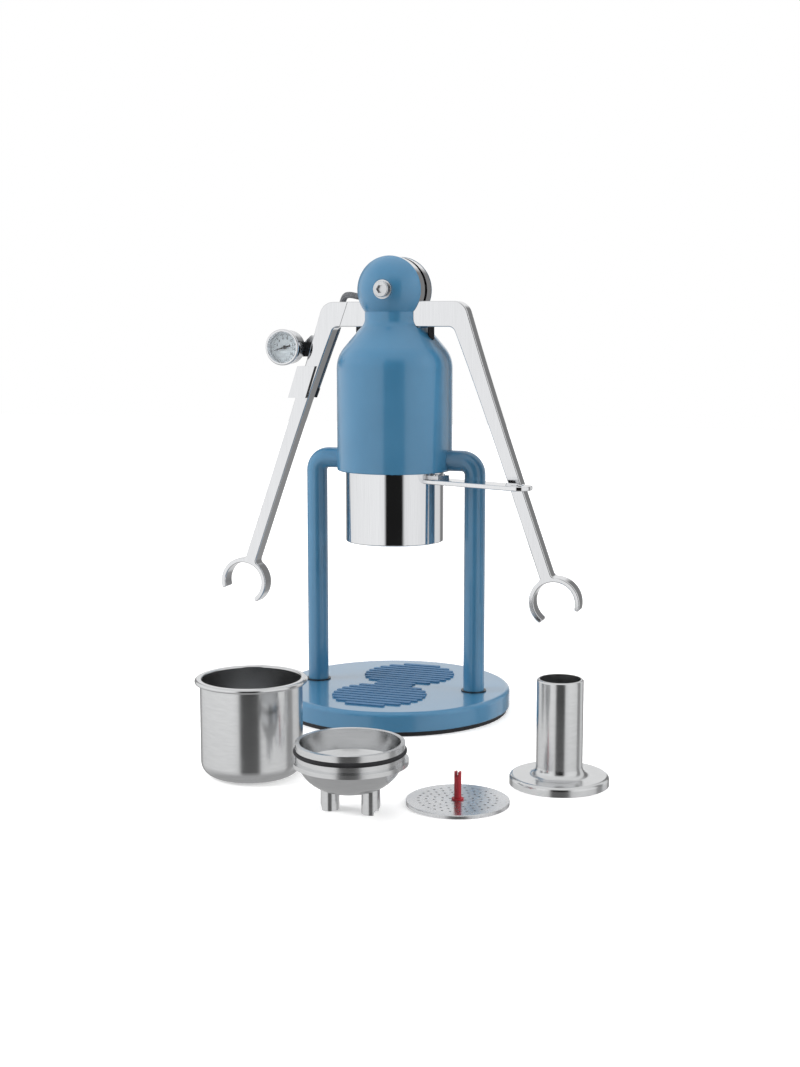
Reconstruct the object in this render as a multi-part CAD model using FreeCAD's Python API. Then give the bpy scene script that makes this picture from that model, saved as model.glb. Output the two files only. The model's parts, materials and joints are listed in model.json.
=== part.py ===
import FreeCAD, Part
import math
import os

V = FreeCAD.Vector

# Sizes are in millimetres. The origin is the centre of the base's underside, +Z is up and -Y is the front.

# Base, pad and cup rests
base_radius = 80.0
base_thickness = 13.1
base_top_round = 3.0
base_bottom_round = 0.8
pad_thickness = 3.0
pad_inset = 2.0
rib_field_radius = 32.0
rib_field_offset = 32.0
rib_pitch = 6.4
rib_width = 4.2
rib_height = 0.9

# Legs
leg_radius = 7.1
leg_spread = 57.2
leg_axis_height = 173.8
leg_bend_extra = 1.9
leg_socket_depth = 8.0
leg_screw_radius = 3.0
leg_screw_head_radius = 5.5
leg_screw_head_height = 3.4
leg_screw_reach = 16.0
foot_ring_overhang = 1.5
foot_ring_height = 0.8
rebate = 0.05
running_gap = 0.05
free_gap = 0.3

# Body shell, from the open bottom to the head
body_radius = 39.4
body_wall = 3.0
leg_above_body_bottom = 7.3
pivot_above_shoulder = 52.4
shoulder_round = 22.0
shoulder_turn = 40.0
neck_radius = 20.8
neck_fillet = 9.0
head_radius = 25.4
pivot_above_cavity = 32.0
group_length = 21.5
ledge_width = 2.0
pivot_above_slot_floor = 25.1

# Pivot and arms
pivot_height = 288.0
pivot_radius = 4.0
pivot_head_radius = 5.25
pivot_head_height = 3.5
pivot_seat = 24.4
washer_radius = 6.3
washer_thickness = 1.0
spacer_radius = 5.1
pivot_nut_flats = 10.0
pivot_nut_height = 6.0
pivot_socket_flats = 5.0
hub_radius = 22.3
bush_radius = 5.6
arm_depth = 11.2
half_split = 0.3
pivot_above_arm = 24.5
shoulder_depth = 16.9
arm_angle = 19.45
arm_width_top = 12.8
arm_width_bottom = 8.1
arm_flare = 3.8
claw_x = 115.2
claw_z = 82.3
claw_outer_radius = 17.2
claw_wall = 3.2
claw_opening = 106.0
elbow_round = 10.0
elbow_fillet = 5.0
claw_fillet = 3.0
claw_tip_round = 1.3
arm_edge_round = 0.7
seam_width = 0.7
seam_depth = 0.4

# Crosshead that turns the arms' swing into the piston's stroke
arm_swing = 115.0
stroke_per_radian = 14.0
pin_drop = 20.0
crosshead_thickness = 4.0
pin_radius = 2.4
pin_clearance = 0.25
hub_skin = 2.0
prong_cap = 3.4
crosshead_length = 50.0

# Rod, guide and piston
rod_radius = 6.0
guide_thickness = 5.0
guide_bush_radius = 9.0
guide_bush_wall = 3.0
guide_bush_length = 11.0
guide_window_circle = 21.0
guide_window_radius = 5.0
piston_radius = 29.0
piston_height = 14.0
piston_reach = 27.8
piston_seal_radius = 29.8
piston_seal_height = 3.0
piston_groove_level = 4.5  # above the piston's foot
piston_screw_radius = 2.5

# Group ring, seal and bayonet
group_bore = 31.0
group_above_collar = 1.2
group_seal_height = 2.2
bayonet_inner = 33.9
bayonet_height = 4.4
lug_count = 3
lug_width = 24.0
lug_gap_width = 30.0
lug_reach = 1.8
lug_height = 4.0
group_bolt_count = 3
group_bolt_radius = 1.5
group_bolt_circle = 33.4

# Portafilter collar and handle
collar_radius = 33.6
collar_wall = 3.0
collar_height = 59.9
collar_engagement = 11.3
handle_angle = -21.0
handle_length = 113.0
handle_width = 18.0
handle_thickness = 3.0
handle_below_body = 5.5
handle_hole_radius = 4.0
handle_hole_inset = 10.0
bracket_width = 12.0
bracket_depth = 9.0
bracket_height = 2.4
collar_turn = 60.0

# Pressure gauge and its clamp on the left arm
gauge_x = -77.5
pivot_above_gauge = 38.5
gauge_front = -13.0
bezel_radius = 12.4
bezel_lip = 1.6
bezel_height = 3.4
case_radius = 11.6
case_depth = 15.0
case_wall = 1.2
lens_thickness = 1.2
dial_depth = 3.2
dial_thickness = 0.6
needle_thickness = 0.5
needle_length = 8.6
needle_tail = 4.2
needle_angle = 196.0
needle_hub_radius = 1.3
connector_height = 10.0
connector_depth = 7.0
tab_height = 4.6
pivot_above_clamp = 51.5
clamp_height = 22.0
clamp_outside = 4.7
clamp_cover = 8.3
clamp_rear_cover = 3.7
clamp_wall = 2.2
clamp_screw_radius = 1.5

# Braided pressure hose on the left arm
hose_radius = 2.25
pivot_above_hose = 4.4
hose_inset = 1.6
fitting_radius = 2.6
fitting_length = 4.0
ferrule_length = 7.0

# Rubber stops below the arms' shoulders
stop_radius = 2.25
stop_x = 27.7
stop_stem_radius = 1.4
stop_stem_depth = 3.0
stop_height = 8.2

# Filter basket standing in front
basket_x = -28.7
basket_y = -176.4
basket_height = 58.0
basket_radius = 30.3
basket_wall = 1.0
basket_rim_radius = 33.0
basket_rim_height = 2.6
basket_corner = 8.5
basket_hole_radius = 0.6
basket_hole_pitch = 5.0
basket_hole_rings = 4

# Twin-spout bowl standing in front
bowl_x = 52.6
bowl_y = -225.9
bowl_height = 39.0
bowl_ring_radius = 30.2
bowl_ring_wall = 2.4
bowl_ring_height = 9.5
bowl_flange_radius = 32.2
bowl_flange_thickness = 2.4
bowl_floor = 12.0
spout_spread = 12.0
spout_radius = 5.2
spout_wall = 1.1
seal_wire = 1.3

# Shower screen and its silicone stem
screen_x = 104.3
screen_y = -193.4
screen_radius = 29.0
screen_thickness = 2.0
screen_hole_radius = 0.7
screen_hole_pitch = 4.4
screen_hole_rings = 5
stem_radius = 2.0
stem_height = 16.0
stem_collar_radius = 3.4
stem_notch = 1.3

# Tamper with its open tube handle
tamper_x = 149.2
tamper_y = -138.1
tamper_radius = 29.0
tamper_thickness = 5.5
tamper_round = 2.2
tamper_flare = 5.0
tube_radius = 13.5
tube_wall = 1.6
tamper_height = 62.0

os.makedirs("parts", exist_ok=True)


def save(name, shape):
    shape.exportStep("parts/" + name + ".step")
    print(name, "solids", len(shape.Solids), "volume", round(shape.Volume, 1))


def upright(radius, low, high, x=0.0, y=0.0):
    return Part.makeCylinder(radius, high - low, V(x, y, low))


def ring(outer, inner, low, high, x=0.0, y=0.0):
    return upright(outer, low, high, x, y).cut(upright(inner, low - 1, high + 1, x, y))


def along_y(radius, front, back, x, z):
    return Part.makeCylinder(radius, back - front, V(x, front, z), V(0, 1, 0))


def block(x0, x1, y0, y1, z0, z1):
    return Part.makeBox(x1 - x0, y1 - y0, z1 - z0, V(x0, y0, z0))


def turned(edges, x=0.0, y=0.0):
    """A solid of revolution from edges in the XZ plane."""
    face = Part.Face(Part.Wire(edges))
    solid = face.revolve(V(0, 0, 0), V(0, 0, 1), 360)
    solid.translate(V(x, y, 0))
    return solid


def line(a, b):
    return Part.LineSegment(V(a[0], 0, a[1]), V(b[0], 0, b[1])).toShape()


def arc(a, b, c):
    return Part.Arc(V(a[0], 0, a[1]), V(b[0], 0, b[1]), V(c[0], 0, c[1])).toShape()


def plate_xz(points, front, back):
    """A flat plate with an outline in the XZ plane, from Y front to Y back."""
    corners = [V(x, front, z) for x, z in points]
    face = Part.Face(Part.makePolygon(corners + corners[:1]))
    return face.extrude(V(0, back - front, 0))


def plate_xy(points, low, high):
    corners = [V(x, y, low) for x, y in points]
    face = Part.Face(Part.makePolygon(corners + corners[:1]))
    return face.extrude(V(0, 0, high - low))


def hexagon(flats, x, z):
    corner = flats / math.sqrt(3)
    return [
        (x + corner * math.cos(math.radians(60 * i)), z + corner * math.sin(math.radians(60 * i)))
        for i in range(6)
    ]


def polar(radius, degrees):
    return (radius * math.cos(math.radians(degrees)), radius * math.sin(math.radians(degrees)))


def wedge(radius, low, high, centre, width):
    """A pie slice about the Z axis, used to keep or cut part of a ring."""
    steps = 8
    start = centre - width / 2
    rim = [polar(radius * 1.1, start + width * i / steps) for i in range(steps + 1)]
    return plate_xy([(0, 0)] + rim, low, high)


def round_y_edges(solid, corners):
    """Rounds the edges that run along Y nearest to each (x, z, radius)."""
    for x, z, radius in corners:
        best = None
        for edge in solid.Edges:
            if len(edge.Vertexes) != 2:
                continue
            a, b = edge.Vertexes[0].Point, edge.Vertexes[1].Point
            if abs(a.x - b.x) > 1e-4 or abs(a.z - b.z) > 1e-4 or abs(a.y - b.y) < 0.5:
                continue
            gap = math.hypot(a.x - x, a.z - z)
            if best is None or gap < best[0]:
                best = (gap, edge)
        solid = solid.makeFillet(radius, [best[1]])
    return solid


def mirrored(solid):
    """The left arm's counterpart: the same casting turned half a turn about Z."""
    copy = solid.copy()
    copy.rotate(V(0, 0, 0), V(0, 0, 1), 180)
    return copy


# Levels and fits that follow from the driving sizes
base_top = pad_thickness + base_thickness
leg_foot = base_top - leg_socket_depth
body_bottom = leg_axis_height - leg_above_body_bottom
collar_top = body_bottom + collar_engagement
collar_bottom = collar_top - collar_height
handle_height = body_bottom - handle_below_body
piston_bottom = collar_top - piston_reach
group_bottom = collar_top + group_above_collar
ledge_height = group_bottom + group_length + guide_thickness
shoulder_start = pivot_height - pivot_above_shoulder
cavity_top = pivot_height - pivot_above_cavity
slot_floor = pivot_height - pivot_above_slot_floor
shoulder_bottom = pivot_height - pivot_above_arm
gauge_z = pivot_height - pivot_above_gauge
clamp_top = pivot_height - pivot_above_clamp
hose_height = pivot_height - pivot_above_hose
cavity_radius = body_radius - body_wall
head_top = pivot_height + head_radius
slot_half = half_split + arm_depth + free_gap
hub_inner = crosshead_thickness / 2 + free_gap + 0.1
shoulder_top = shoulder_bottom + shoulder_depth
stroke = stroke_per_radian * math.radians(arm_swing)
pin_rest = pivot_height - pin_drop
crosshead_foot = pin_rest - crosshead_length
crosshead_reach = stroke_per_radian + prong_cap


def base_plate():
    plate = upright(base_radius, pad_thickness, base_top)
    rims = [e for e in plate.Edges if len(e.Vertexes) == 1]
    top = [e for e in rims if e.CenterOfMass.z > base_top - 0.1]
    plate = plate.makeFillet(base_top_round, top)
    low = [e for e in plate.Edges if abs(e.BoundBox.ZMax - pad_thickness) < 0.01]
    plate = plate.makeFillet(base_bottom_round, low)
    for side in (-1, 1):
        x = side * leg_spread
        plate = plate.cut(upright(leg_radius + rebate, leg_foot, base_top + 1, x))
        plate = plate.cut(upright(leg_screw_radius + free_gap, pad_thickness - 1, base_top, x))
        head_room = leg_screw_head_height + free_gap
        plate = plate.cut(
            upright(leg_screw_head_radius + free_gap, pad_thickness - 1, pad_thickness + head_room, x)
        )
    return plate


def cup_ribs(side):
    """Parallel raised ribs that fill a round cup rest, shorter towards its front and back."""
    bars = []
    count = round(2 * rib_field_radius / rib_pitch)
    for i in range(count):
        offset = (i - (count - 1) / 2) * rib_pitch
        half = math.sqrt(rib_field_radius**2 - offset**2) - rib_width / 2
        y = side * rib_field_offset + offset
        near, far = y - rib_width / 2, y + rib_width / 2
        bar = block(-half, half, near, far, base_top, base_top + rib_height)
        for end in (-half, half):
            bar = bar.fuse(upright(rib_width / 2, base_top, base_top + rib_height, end, y))
        bars.append(bar.removeSplitter())
    return Part.makeCompound(bars)


def leg(side):
    """One bent bar: up from its socket in the base, then in to the body's wall."""
    x = side * leg_spread
    bend = leg_radius + leg_bend_extra
    low = V(x, 0, leg_foot)
    below = V(x, 0, leg_axis_height - bend)
    slope = bend * (1 - math.sqrt(0.5))
    middle = V(x - side * slope, 0, leg_axis_height - slope)
    beside = V(x - side * bend, 0, leg_axis_height)
    inner = V(side * cavity_radius, 0, leg_axis_height)
    path = Part.Wire(
        [
            Part.LineSegment(low, below).toShape(),
            Part.Arc(below, middle, beside).toShape(),
            Part.LineSegment(beside, inner).toShape(),
        ]
    )
    section = Part.Wire(Part.makeCircle(leg_radius, low, V(0, 0, 1)))
    bar = path.makePipeShell([section], True, False)
    tapped = upright(leg_screw_radius + running_gap, leg_foot - 1, leg_foot + leg_screw_reach + 1, x)
    return bar.cut(tapped)


def leg_screws():
    screws = []
    for side in (-1, 1):
        x = side * leg_spread
        head = upright(leg_screw_head_radius, pad_thickness, pad_thickness + leg_screw_head_height, x)
        shank = upright(leg_screw_radius, pad_thickness, leg_foot + leg_screw_reach, x)
        screws.append(head.fuse(shank).removeSplitter())
    return Part.makeCompound(screws)


def foot_rings():
    outer = leg_radius + foot_ring_overhang
    return Part.makeCompound(
        [
            ring(outer, leg_radius + rebate, base_top, base_top + foot_ring_height, side * leg_spread)
            for side in (-1, 1)
        ]
    )


def body_outline():
    """Half the body's section: cylinder, rounded shoulder, cone, hollow neck and a ball on top."""
    turn = math.radians(shoulder_turn)
    middle = body_radius - shoulder_round
    shoulder_end = on_circle(middle, shoulder_start, shoulder_round, shoulder_turn)
    hollow_x = neck_radius + neck_fillet
    cone_foot = hollow_x - neck_fillet * math.cos(turn)
    run = (shoulder_end[0] - cone_foot) / math.sin(turn)
    cone_end = (cone_foot, shoulder_end[1] + run * math.cos(turn))
    hollow_z = cone_end[1] + neck_fillet * math.sin(turn)
    neck_join = pivot_height - math.sqrt(head_radius**2 - neck_radius**2)
    bevel = 0.6
    return [
        line((0, body_bottom), (body_radius - bevel, body_bottom)),
        line((body_radius - bevel, body_bottom), (body_radius, body_bottom + bevel)),
        line((body_radius, body_bottom + bevel), (body_radius, shoulder_start)),
        arc(
            (body_radius, shoulder_start),
            on_circle(middle, shoulder_start, shoulder_round, shoulder_turn / 2),
            shoulder_end,
        ),
        line(shoulder_end, cone_end),
        arc(
            cone_end,
            on_circle(hollow_x, hollow_z, neck_fillet, 180 + shoulder_turn / 2),
            (neck_radius, hollow_z),
        ),
        line((neck_radius, hollow_z), (neck_radius, neck_join)),
        arc((neck_radius, neck_join), (head_radius, pivot_height), (0, head_top)),
        line((0, head_top), (0, body_bottom)),
    ]


def on_circle(x, z, radius, degrees):
    turn = math.radians(degrees)
    return (x + radius * math.cos(turn), z + radius * math.sin(turn))


def body_cavity():
    """The room inside: a wide bore, a ledge for the guide plate and a dome that follows the shoulder."""
    upper = cavity_radius - ledge_width
    rising = (upper - 4, shoulder_start + 10)
    return turned(
        [
            line((0, body_bottom - 1), (cavity_radius, body_bottom - 1)),
            line((cavity_radius, body_bottom - 1), (cavity_radius, ledge_height)),
            line((cavity_radius, ledge_height), (upper, ledge_height)),
            line((upper, ledge_height), (upper, shoulder_start)),
            line((upper, shoulder_start), rising),
            line(rising, (neck_radius + 2.5, cavity_top)),
            line((neck_radius + 2.5, cavity_top), (0, cavity_top)),
            line((0, cavity_top), (0, body_bottom - 1)),
        ]
    )


def body_shell():
    shell = turned(body_outline()).cut(body_cavity())
    wide = body_radius + 5
    shell = shell.cut(block(-wide, wide, -slot_half, slot_half, slot_floor, head_top + 5))
    reach = crosshead_reach + 1.2
    thin = crosshead_thickness / 2 + 1.2
    shell = shell.cut(block(-reach, reach, -thin, thin, cavity_top - 1, slot_floor + 1))
    shell = shell.cut(along_y(pivot_radius + running_gap, -wide, wide, 0, pivot_height))
    for side in (-1, 1):
        seat = side * (pivot_seat + wide) / 2
        half = (wide - pivot_seat) / 2
        shell = shell.cut(along_y(head_radius / 2, seat - half, seat + half, 0, pivot_height))
        hole = Part.makeCylinder(leg_radius + rebate, wide, V(0, 0, leg_axis_height), V(side, 0, 0))
        shell = shell.cut(hole)
        x, y = stop_place(side)
        shell = shell.cut(upright(stop_stem_radius + rebate, stop_foot() - stop_stem_depth, slot_floor, x, y))
        shell = shell.cut(upright(stop_radius + rebate, stop_foot(), slot_floor + 1, x, y))
    for x, y in bolt_places():
        shell = shell.cut(upright(group_bolt_radius + running_gap, ledge_height - 1, ledge_height + 7, x, y))
    return shell


def bolt_places():
    return [polar(group_bolt_circle, 90 + 360 * i / group_bolt_count) for i in range(group_bolt_count)]


def stop_place(side):
    """Each rubber stop stands under the middle of its own arm."""
    return (side * stop_x, -side * (half_split + arm_depth / 2))


def stop_foot():
    return shoulder_bottom - stop_height


def arm_stops():
    stops = []
    for side in (-1, 1):
        x, y = stop_place(side)
        button = upright(stop_radius, stop_foot(), shoulder_bottom - 0.05, x, y)
        stem = upright(stop_stem_radius, stop_foot() - stop_stem_depth, stop_foot(), x, y)
        stops.append(button.fuse(stem).removeSplitter())
    return Part.makeCompound(stops)


def arm_frame():
    """Direction down the arm and the direction across it, in the XZ plane."""
    a = math.radians(arm_angle)
    return (math.sin(a), -math.cos(a)), (math.cos(a), math.sin(a))


def arm_length():
    middle = (shoulder_bottom + shoulder_top) / 2
    return (middle - claw_z) / math.cos(math.radians(arm_angle))


def arm_edge(side, distance):
    """A point on the arm's inner (-1) or outer (+1) edge, at a distance up from the claw's centre."""
    down, across = arm_frame()
    share = max(distance, 0) / arm_length()
    half = (arm_width_bottom + (arm_width_top - arm_width_bottom) * share**arm_flare) / 2
    return (
        claw_x - down[0] * distance + side * across[0] * half,
        claw_z - down[1] * distance + side * across[1] * half,
    )


def arm_edge_at(side, height):
    """Where the arm's edge reaches a given height."""
    distance = (height - claw_z) / math.cos(math.radians(arm_angle))
    for _ in range(6):
        distance += (height - arm_edge(side, distance)[1]) / math.cos(math.radians(arm_angle))
    return arm_edge(side, distance)


def pin_in_hub(swing, beside):
    """A point level with the pin's centre or its flank, as the hub sees it after a swing in radians."""
    x = stroke_per_radian
    z = -pin_drop + stroke_per_radian * swing + beside
    return (
        x * math.cos(swing) + z * math.sin(swing),
        pivot_height - x * math.sin(swing) + z * math.cos(swing),
    )


def cam_slot():
    """The blind slot in the hub's inner face, where the pin runs in and part of the way out again."""
    width = pin_radius + pin_clearance
    front = -(half_split + arm_depth) + hub_skin
    back = -hub_inner + 1
    last = math.radians(arm_swing)
    turning = pin_drop / stroke_per_radian
    cutter = slot_branch(0, turning - width / stroke_per_radian, width, front, back)
    if last > turning + width / stroke_per_radian:
        cutter = cutter.fuse(slot_branch(turning + width / stroke_per_radian, last, width, front, back))
    for swing in (turning - width / stroke_per_radian / 2, turning, turning + width / stroke_per_radian / 2):
        x, z = pin_in_hub(swing, 0)
        cutter = cutter.fuse(along_y(width, front, back, x, z))
    return cutter.removeSplitter()


def slot_branch(start, end, width, front, back):
    """One run of the slot between two swings: curved flanks and a round end at each."""
    steps = 8

    def at(point):
        return V(point[0], front, point[1])

    def flank(beside):
        swings = [start + (end - start) * i / steps for i in range(steps + 1)]
        curve = Part.BSplineCurve()
        curve.interpolate(Points=[at(pin_in_hub(swing, beside)) for swing in swings])
        return curve.toShape()

    near, far = flank(-width), flank(width)
    closing = []
    for swing in (start, end):
        closing.append(
            Part.LineSegment(at(pin_in_hub(swing, -width)), at(pin_in_hub(swing, width))).toShape()
        )
    wire = Part.Wire([near, closing[1], far, closing[0]])
    run = Part.Face(wire).extrude(V(0, back - front, 0))
    for swing in (start, end):
        x, z = pin_in_hub(swing, 0)
        run = run.fuse(along_y(width, front, back, x, z))
    return run


def arm_bar(start):
    """The level shoulder and the long bar, whose edges flare softly towards the elbow."""
    front = -(half_split + arm_depth)
    elbow_in = arm_edge_at(-1, shoulder_bottom)
    elbow_out = arm_edge_at(1, shoulder_top)
    foot = claw_outer_radius - claw_wall / 2
    steps = 8

    def edge(side, top_point):
        span = math.hypot(top_point[0] - claw_x, top_point[1] - claw_z)
        spots = [arm_edge(side, foot + (span - foot) * i / steps) for i in range(steps)]
        curve = Part.BSplineCurve()
        curve.interpolate(Points=[V(x, front, z) for x, z in spots + [top_point]])
        return curve.toShape(), spots[0]

    inner, inner_foot = edge(-1, elbow_in)
    outer, outer_foot = edge(1, elbow_out)

    def straight(a, b):
        return Part.LineSegment(V(a[0], front, a[1]), V(b[0], front, b[1])).toShape()

    sides = [
        straight((start, shoulder_bottom), elbow_in),
        inner,
        straight(inner_foot, outer_foot),
        outer,
        straight(elbow_out, (start, shoulder_top)),
        straight((start, shoulder_top), (start, shoulder_bottom)),
    ]
    bar = Part.Face(Part.Wire(Part.__sortEdges__(sides))).extrude(V(0, arm_depth, 0))
    rounds = [(elbow_out[0], elbow_out[1], elbow_round), (elbow_in[0], elbow_in[1], elbow_fillet)]
    return round_y_edges(bar, rounds)


def claw_mouth():
    """The wedge that opens the claw downwards and outwards."""
    down, _ = arm_frame()
    half = math.radians(claw_opening / 2)
    reach = claw_outer_radius * 2.2
    mouth = [(claw_x, claw_z)]
    for turn in (-half, 0, half):
        x = down[0] * math.cos(turn) - down[1] * math.sin(turn)
        z = down[0] * math.sin(turn) + down[1] * math.cos(turn)
        mouth.append((claw_x + x * reach, claw_z + z * reach))
    return mouth


def arm():
    """The right arm: hub, level shoulder, long bar and open claw in one casting."""
    front = -(half_split + arm_depth)
    back = -half_split
    bar = arm_bar(crosshead_reach - pin_radius * 2)
    bar = bar.fuse(along_y(claw_outer_radius, front, back, claw_x, claw_z)).removeSplitter()
    joins = [arm_edge(side, claw_outer_radius) for side in (-1, 1)]
    bar = round_y_edges(bar, [(x, z, claw_fillet) for x, z in joins])
    bar = bar.cut(along_y(claw_outer_radius - claw_wall, front - 1, back + 1, claw_x, claw_z))
    mouth = claw_mouth()
    bar = bar.cut(plate_xz(mouth, front - 1, back + 1))
    tips = []
    for x, z in (mouth[1], mouth[3]):
        gap = math.hypot(x - claw_x, z - claw_z)
        for radius in (claw_outer_radius, claw_outer_radius - claw_wall):
            share = radius / gap
            tips.append((claw_x + (x - claw_x) * share, claw_z + (z - claw_z) * share, claw_tip_round))
    bar = round_y_edges(bar, tips)
    shoulder_end = bar.BoundBox.XMin + 0.5
    rims = [
        e
        for e in bar.Edges
        if e.BoundBox.YMax - e.BoundBox.YMin < 1e-3 and e.BoundBox.XMax > shoulder_end
    ]
    bar = bar.makeFillet(arm_edge_round, rims)
    bar = bar.fuse(along_y(hub_radius, front, back, 0, pivot_height)).removeSplitter()
    clear = hub_radius + 1.5
    side_clear = crosshead_reach + 1.0
    bar = bar.cut(along_y(clear, -hub_inner, back + 1, 0, pivot_height))
    bar = bar.cut(block(-clear, side_clear, -hub_inner, back + 1, shoulder_bottom - 1, shoulder_top + 1))
    bar = bar.cut(cam_slot())
    bar = bar.cut(along_y(bush_radius + rebate, front - 1, back + 1, 0, pivot_height))
    return bar


def arm_seam(solid):
    """A fine joint line across the left shoulder, parallel to the arm."""
    a = math.radians(arm_angle)
    x = -34.0
    height = shoulder_depth + 2
    run = height * math.tan(a)
    top = [(x, shoulder_top + 1), (x + seam_width, shoulder_top + 1)]
    low = [(x + seam_width - run, shoulder_bottom - 1), (x - run, shoulder_bottom - 1)]
    groove = plate_xz(top + low, half_split - 1, half_split + seam_depth)
    return solid.cut(groove)


def hub_bush():
    front = -(half_split + arm_depth)
    tube = along_y(bush_radius, front, -hub_inner, 0, pivot_height)
    return tube.cut(along_y(pivot_radius + running_gap, front - 1, 0, 0, pivot_height))


def pivot_bolt():
    face = -pivot_seat - washer_thickness
    front = face - pivot_head_height
    head = along_y(pivot_head_radius, front, face, 0, pivot_height)
    head = head.makeFillet(0.7, [e for e in head.Edges if e.BoundBox.YMax < front + 0.1])
    shank = along_y(pivot_radius, face, pivot_seat + washer_thickness + pivot_nut_height - 1, 0, pivot_height)
    socket = plate_xz(hexagon(pivot_socket_flats, 0, pivot_height), front - 1, front + 2.6)
    return head.fuse(shank).cut(socket).removeSplitter()


def pivot_washers():
    front = along_y(washer_radius, -pivot_seat - washer_thickness, -pivot_seat, 0, pivot_height)
    front = front.cut(along_y(pivot_radius + running_gap, -head_radius * 2, 0, 0, pivot_height))
    return Part.makeCompound([front, mirrored(front)])


def hub_spacer():
    """The tube between the two hubs that keeps them apart on the pivot bolt."""
    half = hub_inner - 0.15
    tube = along_y(spacer_radius, -half, half, 0, pivot_height)
    return tube.cut(along_y(pivot_radius + running_gap, -half - 1, half + 1, 0, pivot_height))


def pivot_nut():
    """A domed cap nut behind the rear washer."""
    face = pivot_seat + washer_thickness
    back = face + pivot_nut_height
    body = plate_xz(hexagon(pivot_nut_flats, 0, pivot_height), face, back)
    dome = along_y(pivot_nut_flats / 2 + 0.7, face, back, 0, pivot_height)
    body = body.common(dome.makeFillet(2.4, [e for e in dome.Edges if e.BoundBox.YMin > back - 0.1]))
    return body.cut(along_y(pivot_radius + running_gap, face - 1, back - 0.9, 0, pivot_height))


def crosshead():
    """A forked plate between the hubs: it straddles the pivot bolt and carries one pin for each arm."""
    half = crosshead_thickness / 2
    top = pin_rest + prong_cap
    plate = block(-crosshead_reach, crosshead_reach, -half, half, crosshead_foot, top)
    gap = spacer_radius + free_gap
    fork_floor = pivot_height - spacer_radius - stroke - 1
    plate = plate.cut(block(-gap, gap, -half - 1, half + 1, fork_floor, top + 1))
    for side in (-1, 1):
        plate = plate.cut(along_y(pin_radius + 0.02, -half - 1, half + 1, side * stroke_per_radian, pin_rest))
    return plate


def crosshead_block():
    """The block that joins the plate to the piston rod below it."""
    wide, deep = 15.0, 8.0
    body = block(-wide, wide, -deep, deep, crosshead_foot - 6, crosshead_foot + 5)
    corners = [e for e in body.Edges if abs(e.BoundBox.ZMax - e.BoundBox.ZMin - 11) < 0.01]
    body = body.makeFillet(3.0, corners)
    slot = crosshead_reach + 1
    half = crosshead_thickness / 2 + 0.02
    body = body.cut(block(-slot, slot, -half, half, crosshead_foot, crosshead_foot + 6))
    return body.cut(upright(rod_radius + rebate, crosshead_foot - 7, crosshead_foot - 3))


def crosshead_pins():
    """The right arm's pin points forward and the left arm's pin points back."""
    front = -(half_split + arm_depth) + hub_skin + free_gap
    pin = along_y(pin_radius, front, crosshead_thickness / 2, stroke_per_radian, pin_rest)
    return Part.makeCompound([pin, mirrored(pin)])


def piston_rod():
    rod = upright(rod_radius, piston_bottom + 4, crosshead_foot - 3)
    return rod.cut(upright(piston_screw_radius + running_gap, piston_bottom, piston_bottom + 16))


def piston():
    low = piston_bottom
    top = low + piston_height
    disc = upright(piston_radius, low, top)
    groove_low = low + piston_groove_level
    groove_top = groove_low + piston_seal_height + 0.1
    groove = ring(piston_radius + 1, piston_seal_radius - 3, groove_low, groove_top)
    disc = disc.cut(groove)
    disc = disc.cut(upright(rod_radius + rebate, low + 4, top + 1))
    disc = disc.cut(upright(piston_screw_radius + running_gap, low - 1, top))
    return disc.cut(upright(5.2, low - 1, low + 2.6))


def piston_seal():
    low = piston_bottom + piston_groove_level + 0.05
    return ring(piston_seal_radius, piston_seal_radius - 2.9, low, low + piston_seal_height)


def piston_screw():
    low = piston_bottom + 0.2
    head = upright(5.0, low, low + 2.4)
    shank = upright(piston_screw_radius, low, piston_bottom + 15)
    socket = upright(1.7, low - 1, low + 1.6)
    return head.fuse(shank).cut(socket).removeSplitter()


def guide_plate():
    low = ledge_height - guide_thickness
    disc = upright(cavity_radius - rebate, low, ledge_height)
    disc = disc.cut(upright(guide_bush_radius + rebate, low - 1, ledge_height + 1))
    for x, y in bolt_places():
        disc = disc.cut(upright(group_bolt_radius + running_gap, low - 1, ledge_height + 1, x, y))
    for i in range(group_bolt_count):
        x, y = polar(guide_window_circle, 30 + 360 * i / group_bolt_count)
        disc = disc.cut(upright(guide_window_radius, low - 1, ledge_height + 1, x, y))
    return disc


def guide_bush():
    low = ledge_height - guide_thickness
    tube = ring(guide_bush_radius, guide_bush_radius - guide_bush_wall, low, low + guide_bush_length)
    bore = guide_bush_radius - guide_bush_wall
    flange = ring(guide_bush_radius + 2.5, bore, ledge_height, ledge_height + 2)
    tube = tube.fuse(flange).removeSplitter()
    return tube.cut(upright(rod_radius + running_gap, low - 1, low + guide_bush_length + 1))


def group_ring():
    """The cylinder that guides the piston and takes the portafilter's seal."""
    top = ledge_height - guide_thickness
    body = ring(cavity_radius - rebate, group_bore, group_bottom, top)
    seal = ring(collar_radius + 0.1, group_bore + 0.3, group_bottom - 1, group_bottom + group_seal_height)
    body = body.cut(seal)
    for x, y in bolt_places():
        body = body.cut(upright(group_bolt_radius + running_gap, group_bottom - 1, top + 1, x, y))
        body = body.cut(upright(2.7, group_bottom - 1, group_bottom + group_seal_height + 3, x, y))
    return body


def group_seal():
    seal = ring(collar_radius, group_bore + 0.4, group_bottom - 0.3, group_bottom + group_seal_height - 0.05)
    return seal


def group_bolts():
    bolts = []
    low = group_bottom + group_seal_height + 0.1
    for x, y in bolt_places():
        head = upright(2.5, low, low + 2.9, x, y)
        shank = upright(group_bolt_radius, low, ledge_height + 6, x, y)
        bolts.append(head.fuse(shank).removeSplitter())
    return Part.makeCompound(bolts)


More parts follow.
